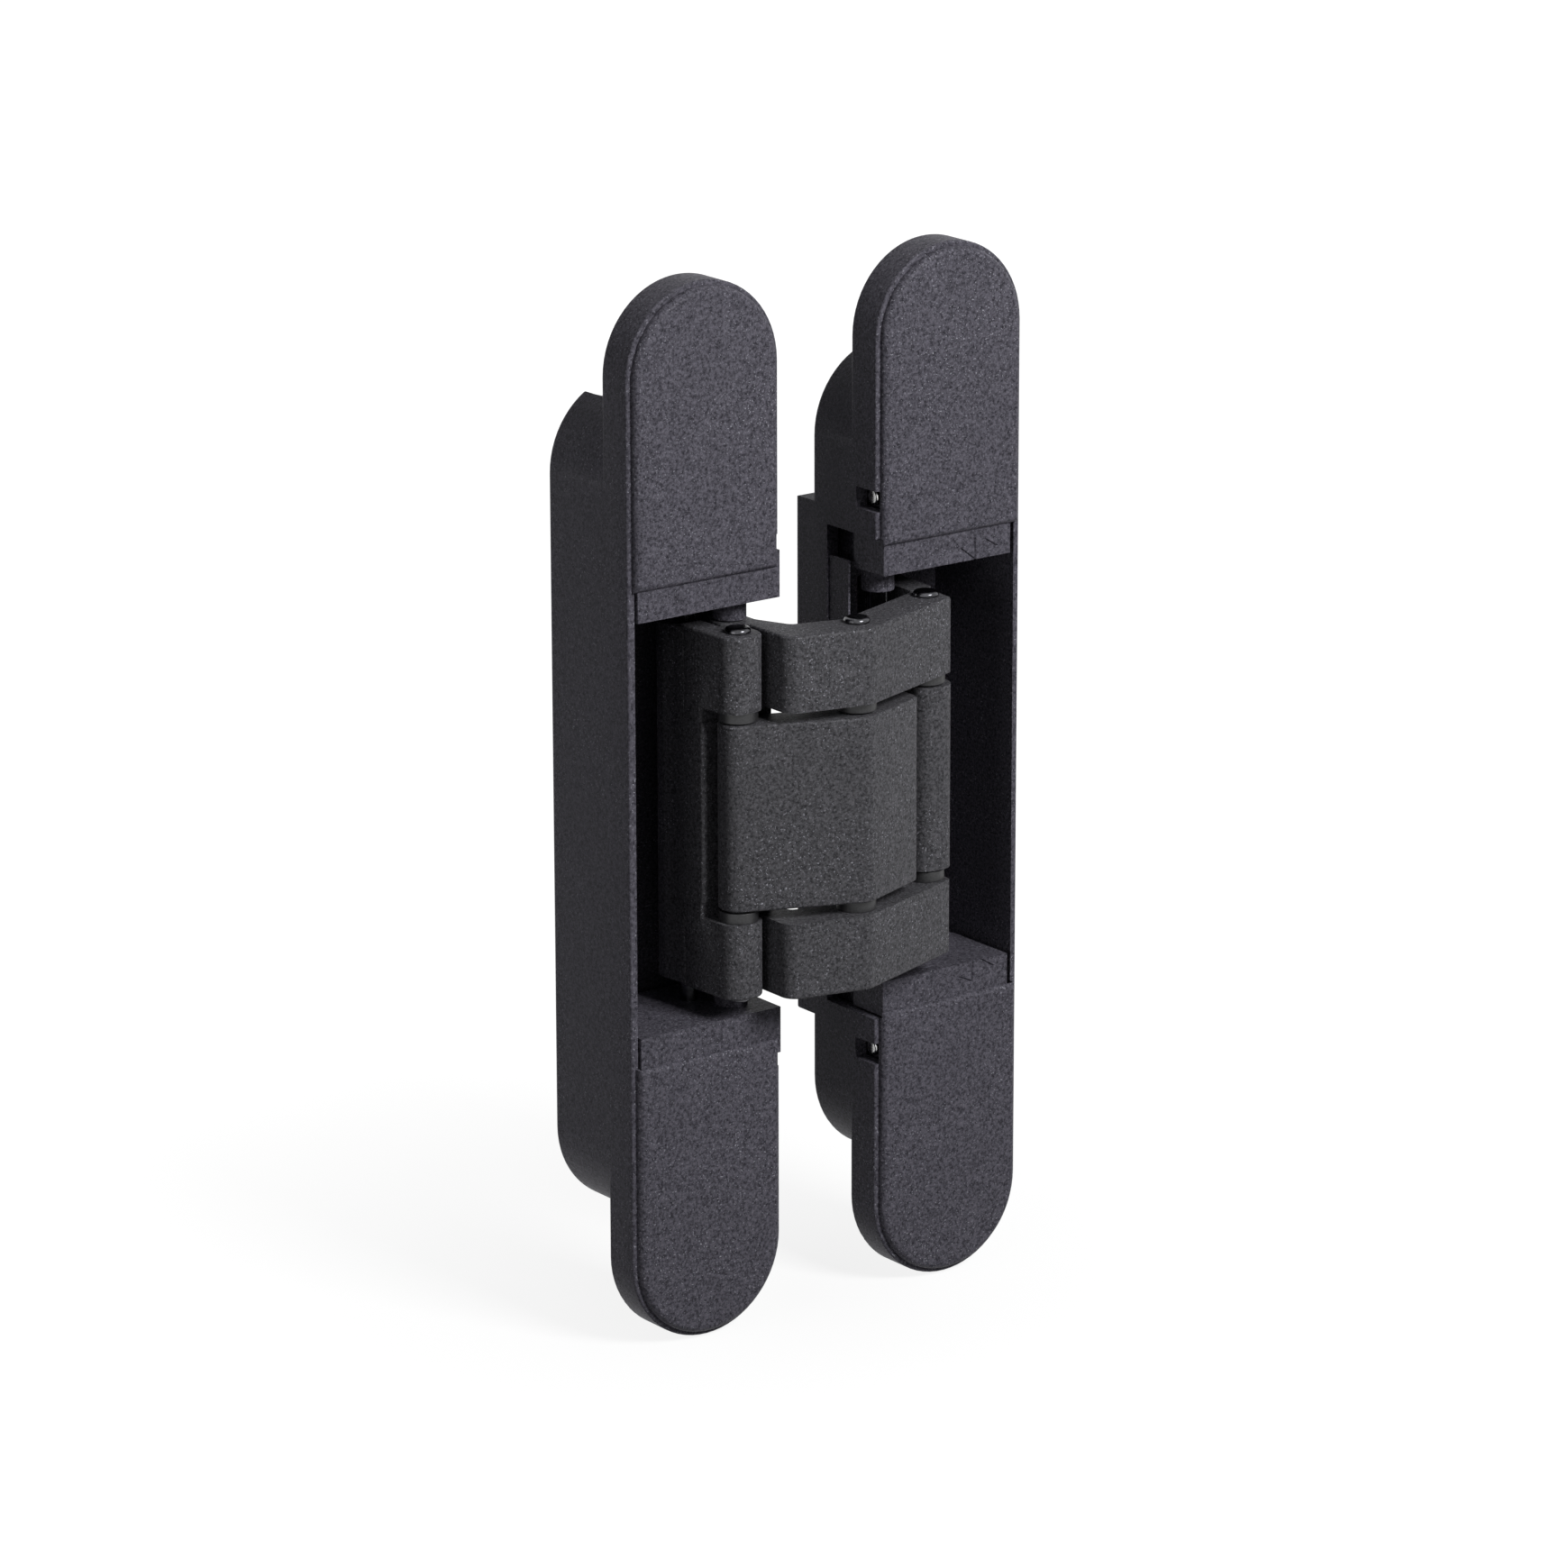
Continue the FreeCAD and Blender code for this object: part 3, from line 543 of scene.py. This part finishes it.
@dataclass
class HeadMarks:
    """Adjustment marks engraved in the front of one door head.

    The points are places across and up on the upper head, in millimetres.
    """

    end: End
    front: float = -5.5
    width: float = 0.5
    depth: float = 0.3
    lead: float = 0.05
    triangle: tuple[tuple[float, float], ...] = (
        (55.76, 39.59),
        (58.82, 40.94),
        (59.04, 37.10),
    )
    chevron: tuple[tuple[float, float], ...] = (
        (61.08, 40.59),
        (63.74, 38.96),
        (60.73, 37.14),
    )

    def groove(
        self, work: bmesh.types.BMesh, line: tuple[tuple[float, float], ...], closed: bool
    ) -> None:
        """Add one mitred V-shaped groove.

        Args:
            work: The mesh that takes the groove.
            line: Corners of the groove's middle line.
            closed: Whether the last corner joins the first one.
        """
        points = [Vector(point) for point in line]
        sections = []
        for index, here in enumerate(points):
            runs = []
            if closed or index > 0:
                runs.append((here - points[index - 1]).normalized())
            if closed or index < len(points) - 1:
                runs.append((points[(index + 1) % len(points)] - here).normalized())
            aside = [Vector((-run.y, run.x)) for run in runs]
            mitre = sum(aside, Vector((0.0, 0.0))).normalized()
            reach = self.width / 2 / mitre.dot(aside[0])
            rows = [
                (here + mitre * reach, self.front - self.lead),
                (here - mitre * reach, self.front - self.lead),
                (here, self.front + self.depth),
            ]
            sections.append(
                [work.verts.new((spot.x * MM, deep * MM, spot.y * MM)) for spot, deep in rows]
            )
        pairs = list(zip(sections, sections[1:]))
        if closed:
            pairs.append((sections[-1], sections[0]))
        else:
            work.faces.new(sections[0])
            work.faces.new(sections[-1])
        for first, second in pairs:
            for index in range(3):
                after = (index + 1) % 3
                work.faces.new((first[index], first[after], second[after], second[index]))

    def mesh(self) -> bpy.types.Object:
        """Build the cutter of both grooves.

        Returns:
            The cutter's object, which goes once it has cut.
        """
        work = bmesh.new()
        self.groove(work, self.triangle, True)
        self.groove(work, self.chevron, False)
        if self.end is End.BOTTOM:
            bmesh.ops.scale(work, vec=(1.0, 1.0, -1.0), verts=work.verts)
        bmesh.ops.recalc_face_normals(work, faces=work.faces)
        data = bpy.data.meshes.new("mark_cutter")
        work.to_mesh(data)
        work.free()
        cutter = bpy.data.objects.new("mark_cutter", data)
        bpy.context.scene.collection.objects.link(cutter)
        return cutter

    def cut(self, skin: bpy.types.Object) -> None:
        """Engrave the marks in a carrier's skin.

        Args:
            skin: The skin with its edge rounding still live.
        """
        cutter = self.mesh()
        carve = skin.modifiers.new("marks", "BOOLEAN")
        carve.operation = "DIFFERENCE"
        carve.solver = "EXACT"
        carve.object = cutter
        even = skin.modifiers.new("even_shading", "WEIGHTED_NORMAL")
        even.keep_sharp = True
        bpy.context.view_layer.update()
        drawn = skin.evaluated_get(bpy.context.evaluated_depsgraph_get())
        data = bpy.data.meshes.new_from_object(drawn)
        skin.modifiers.clear()
        plain = skin.data
        data.name = plain.name
        skin.data = data
        bpy.data.meshes.remove(plain)
        bpy.data.objects.remove(cutter)


@dataclass
class SubAssembly:
    """A group of solids that is skinned together."""

    skins: list[Skin] = field(default_factory=list)

    def build(
        self, nodes: dict[str, bpy.types.Object], wardrobe: Wardrobe
    ) -> list[bpy.types.Object]:
        """Build every skin of the group.

        Args:
            nodes: The solids by name.
            wardrobe: The finishes.

        Returns:
            The dressed skins in order.
        """
        return [skin.build(nodes, wardrobe) for skin in self.skins]


@dataclass
class Housing(SubAssembly):
    """One die-cast housing with its two end covers."""

    side: Side = Side.FRAME
    rim: float = 0.25
    cover_edge: float = 0.2

    def __post_init__(self) -> None:
        """List the housing and its covers."""
        body = self.side.value
        self.skins = [Skin(f"{body}_housing", body, "coated_body", self.rim)]
        for end in End:
            node = f"{body}_cover_{end.value}"
            self.skins.append(Skin(node, body, "coated_cover", self.cover_edge))


@dataclass
class Carriers(SubAssembly):
    """The two pin carriers of one housing."""

    side: Side = Side.FRAME
    edge: float = 0.45

    def __post_init__(self) -> None:
        """List the two carriers."""
        for end in End:
            node = f"{self.side.value}_carrier_{end.value}"
            body = f"{self.side.value}_carriers"
            self.skins.append(Skin(node, body, "coated_body", self.edge))

    def build(
        self, nodes: dict[str, bpy.types.Object], wardrobe: Wardrobe
    ) -> list[bpy.types.Object]:
        """Build the carriers and engrave the marks of the door's heads.

        Args:
            nodes: The solids by name.
            wardrobe: The finishes.

        Returns:
            The dressed skins of the upper and the lower carrier.
        """
        pieces = super().build(nodes, wardrobe)
        if self.side is Side.DOOR:
            for end, skin in zip(End, pieces):
                HeadMarks(end).cut(skin)
                LOG.info("marks engraved in %s", skin.name)
        return pieces


@dataclass
class Linkage(SubAssembly):
    """The crossed arms and the end links."""

    edge: float = 0.25

    def __post_init__(self) -> None:
        """List the arms and links."""
        for node in ("outer_arm", "inner_arm", "frame_link", "door_link"):
            self.skins.append(Skin(node, node, "coated_arm", self.edge))


@dataclass
class Hardware(SubAssembly):
    """Pins, washers and screws."""

    edge: float = 0.12

    def __post_init__(self) -> None:
        """List the small parts with the body that each moves with."""
        rows = [
            ("centre_pin", "outer_arm", "pin_steel"),
            ("door_link_pin", "outer_arm", "pin_steel"),
            ("frame_link_pin", "frame_link", "pin_steel"),
            ("frame_arm_pin", "frame_carriers", "pin_steel"),
            ("frame_root_pin", "frame_carriers", "pin_steel"),
            ("door_arm_pin", "door_carriers", "pin_steel"),
            ("door_root_pin", "door_carriers", "pin_steel"),
            ("centre_washers", "outer_arm", "polymer"),
            ("door_link_washers", "outer_arm", "polymer"),
            ("frame_link_washers", "frame_link", "polymer"),
            ("frame_clamp_screws", "frame", "screw_steel"),
            ("frame_height_screws", "frame", "screw_steel"),
            ("door_clamp_screws", "door", "screw_steel"),
            ("door_side_screws", "door_carriers", "screw_steel"),
        ]
        self.skins = [Skin(node, body, slot, self.edge) for node, body, slot in rows]


@dataclass(frozen=True)
class SoftLamp:
    """One square area lamp: place and edge in metres, power in watts."""

    name: str
    place: tuple[float, float, float]
    size: float
    power: float


@dataclass
class Studio:
    """White floor, soft lamps and a dim surround."""

    floor_height: float = -0.0954
    floor_size: float = 6.0
    ambient: float = 0.04
    key: SoftLamp = SoftLamp("key", (0.11, -0.52, 0.38), 0.22, 3.5)
    fill: SoftLamp = SoftLamp("fill", (-0.9, -0.3, 0.12), 0.4, 0.75)

    def floor(self) -> bpy.types.Object:
        """Build the floor.

        Returns:
            The floor object.
        """
        half = self.floor_size / 2
        edge = [(-half, -half), (half, -half), (half, half), (-half, half)]
        data = bpy.data.meshes.new("floor")
        data.from_pydata([(x, y, 0.0) for x, y in edge], [], [(0, 1, 2, 3)])
        floor = bpy.data.objects.new("floor", data)
        floor.location = (MIDDLE[0], MIDDLE[1], self.floor_height)
        bpy.context.scene.collection.objects.link(floor)
        floor.data.materials.append(PaleFloor().material())
        return floor

    def surround(self) -> None:
        """Light the world softly and show it white to the camera."""
        world = bpy.data.worlds.new("surround")
        bpy.context.scene.world = world
        world.use_nodes = True
        nodes = world.node_tree.nodes
        links = world.node_tree.links
        nodes.clear()
        output = nodes.new("ShaderNodeOutputWorld")
        dim = nodes.new("ShaderNodeBackground")
        dim.inputs["Color"].default_value = (1, 1, 1, 1)
        dim.inputs["Strength"].default_value = self.ambient
        white = nodes.new("ShaderNodeBackground")
        white.inputs["Color"].default_value = (1, 1, 1, 1)
        white.inputs["Strength"].default_value = 1.0
        mix = nodes.new("ShaderNodeMixShader")
        links.new(seen_directly(nodes, links), mix.inputs["Fac"])
        links.new(dim.outputs["Background"], mix.inputs[1])
        links.new(white.outputs["Background"], mix.inputs[2])
        links.new(mix.outputs["Shader"], output.inputs["Surface"])

    def hang(self, soft: SoftLamp) -> None:
        """Add one soft area lamp that points at the hinge.

        Args:
            soft: The lamp's name, place, size and power.
        """
        data = bpy.data.lights.new(soft.name, "AREA")
        data.shape = "SQUARE"
        data.size = soft.size
        data.energy = soft.power
        lamp = bpy.data.objects.new(soft.name, data)
        lamp.location = soft.place
        aim = Vector(MIDDLE) - lamp.location
        lamp.rotation_mode = "QUATERNION"
        lamp.rotation_quaternion = aim.to_track_quat("-Z", "Y")
        bpy.context.scene.collection.objects.link(lamp)

    def build(self) -> None:
        """Build the floor, the surround and the lamps."""
        self.floor()
        self.surround()
        self.hang(self.key)
        self.hang(self.fill)


@dataclass
class PhotoCamera:
    """Camera at the photograph's viewing angle."""

    azimuth: float = -36.831
    elevation: float = 16.3
    roll: float = -0.108
    distance: float = 1.2
    lens: float = 158.4
    target: tuple[float, float, float] = (0.015996, COVER_FRONT * MM, 0.003747)

    def build(self) -> bpy.types.Object:
        """Place the camera.

        Returns:
            The camera object.
        """
        turn = math.radians(self.azimuth)
        lift = math.radians(self.elevation)
        back = Vector(
            (
                math.sin(turn) * math.cos(lift),
                -math.cos(turn) * math.cos(lift),
                math.sin(lift),
            )
        )
        data = bpy.data.cameras.new("photo_camera")
        data.lens = self.lens
        data.sensor_width = 36.0
        data.clip_start = 0.05
        data.clip_end = 20.0
        camera = bpy.data.objects.new("photo_camera", data)
        camera.location = Vector(self.target) + back * self.distance
        facing = (-back).to_track_quat("-Z", "Y").to_matrix().to_4x4()
        tilt = Matrix.Rotation(math.radians(self.roll), 4, "Z")
        camera.rotation_mode = "QUATERNION"
        camera.rotation_quaternion = (facing @ tilt).to_quaternion()
        bpy.context.scene.collection.objects.link(camera)
        bpy.context.scene.camera = camera
        return camera


def main() -> None:
    """Build the dressed hinge, its studio and its camera."""
    logging.basicConfig(level=logging.INFO, format="%(name)s: %(message)s")
    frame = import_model()
    nodes = frame["nodes"]
    wardrobe = Wardrobe()
    groups: list[SubAssembly] = [
        Housing(side=Side.FRAME),
        Housing(side=Side.DOOR),
        Carriers(side=Side.FRAME),
        Carriers(side=Side.DOOR),
        Linkage(),
        Hardware(),
    ]
    for group in groups:
        pieces = group.build(nodes, wardrobe)
        LOG.info("%s: %d pieces", type(group).__name__, len(pieces))
    Studio().build()
    PhotoCamera().build()
    bpy.context.scene.view_settings.view_transform = "Standard"


if __name__ == "__main__":
    main()
